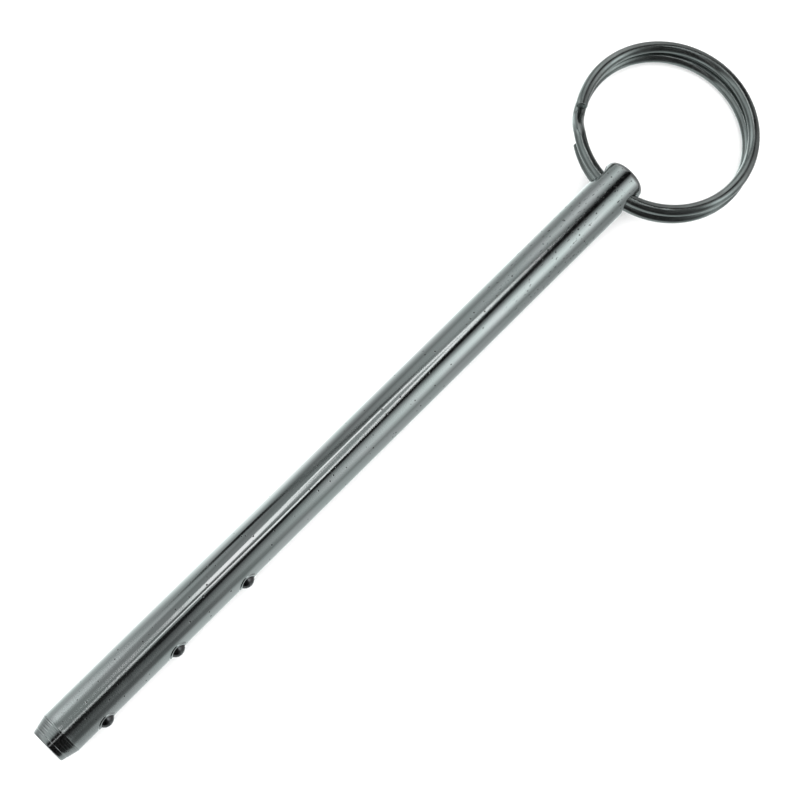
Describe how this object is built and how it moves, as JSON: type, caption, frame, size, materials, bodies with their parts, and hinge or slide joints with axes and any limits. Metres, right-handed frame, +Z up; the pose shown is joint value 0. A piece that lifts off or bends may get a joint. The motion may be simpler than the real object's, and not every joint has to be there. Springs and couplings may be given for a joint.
{
  "type": "detent hitch pin",
  "caption": "Straight steel hitch pin with a tapered tip, spring-loaded detent balls along one side and a split wire pull ring through a cross hole at the head.",
  "frame": {"origin": "on the shank's axis, in the middle of its plain grip between the innermost ball and the ring hole", "axes": "+X along the shank towards the head and ring, -X towards the tapered tip; the ring's cross hole along Y with the balls on the -Y side; +Z up with the pin lying on its side"},
  "size_m": [0.2693, 0.0543, 0.0129],
  "materials": {
    "shank_steel": "bright zinc plate with fine turning marks and handling nicks",
    "ball_steel": "polished hardened ball",
    "ring_wire": "plated spring wire, darker than the shank",
    "spring_wire": "plain spring wire"
  },
  "bodies": {
    "pin_shank": {"shank": "shank_steel", "detent_spring_1": "spring_wire", "detent_spring_2": "spring_wire", "detent_spring_3": "spring_wire"},
    "ball_1": {"detent_ball_1": "ball_steel"},
    "ball_2": {"detent_ball_2": "ball_steel"},
    "ball_3": {"detent_ball_3": "ball_steel"},
    "ring": {"split_ring": "ring_wire"}
  },
  "joints": [
    {"name": "detent_ball_1_press", "type": "slide", "parent": "pin_shank", "child": "ball_1", "axis": [0, 0.9976, -0.0698], "range_m": [0, 0.0015], "stiffness_N_per_m": 2000, "springref_m": -0.0006, "deforming": ["detent_spring_1"]},
    {"name": "detent_ball_2_press", "type": "slide", "parent": "pin_shank", "child": "ball_2", "axis": [0, 0.9976, -0.0698], "range_m": [0, 0.0015], "stiffness_N_per_m": 2000, "springref_m": -0.0006, "deforming": ["detent_spring_2"]},
    {"name": "detent_ball_3_press", "type": "slide", "parent": "pin_shank", "child": "ball_3", "axis": [0, 0.9976, -0.0698], "range_m": [0, 0.0015], "stiffness_N_per_m": 2000, "springref_m": -0.0006, "deforming": ["detent_spring_3"]},
    {"name": "ring_swing", "type": "hinge", "parent": "pin_shank", "child": "ring", "pos_m": [0.07628, 0, 0], "axis": [0, 1, 0], "range_deg": [-171, 164]}
  ]
}
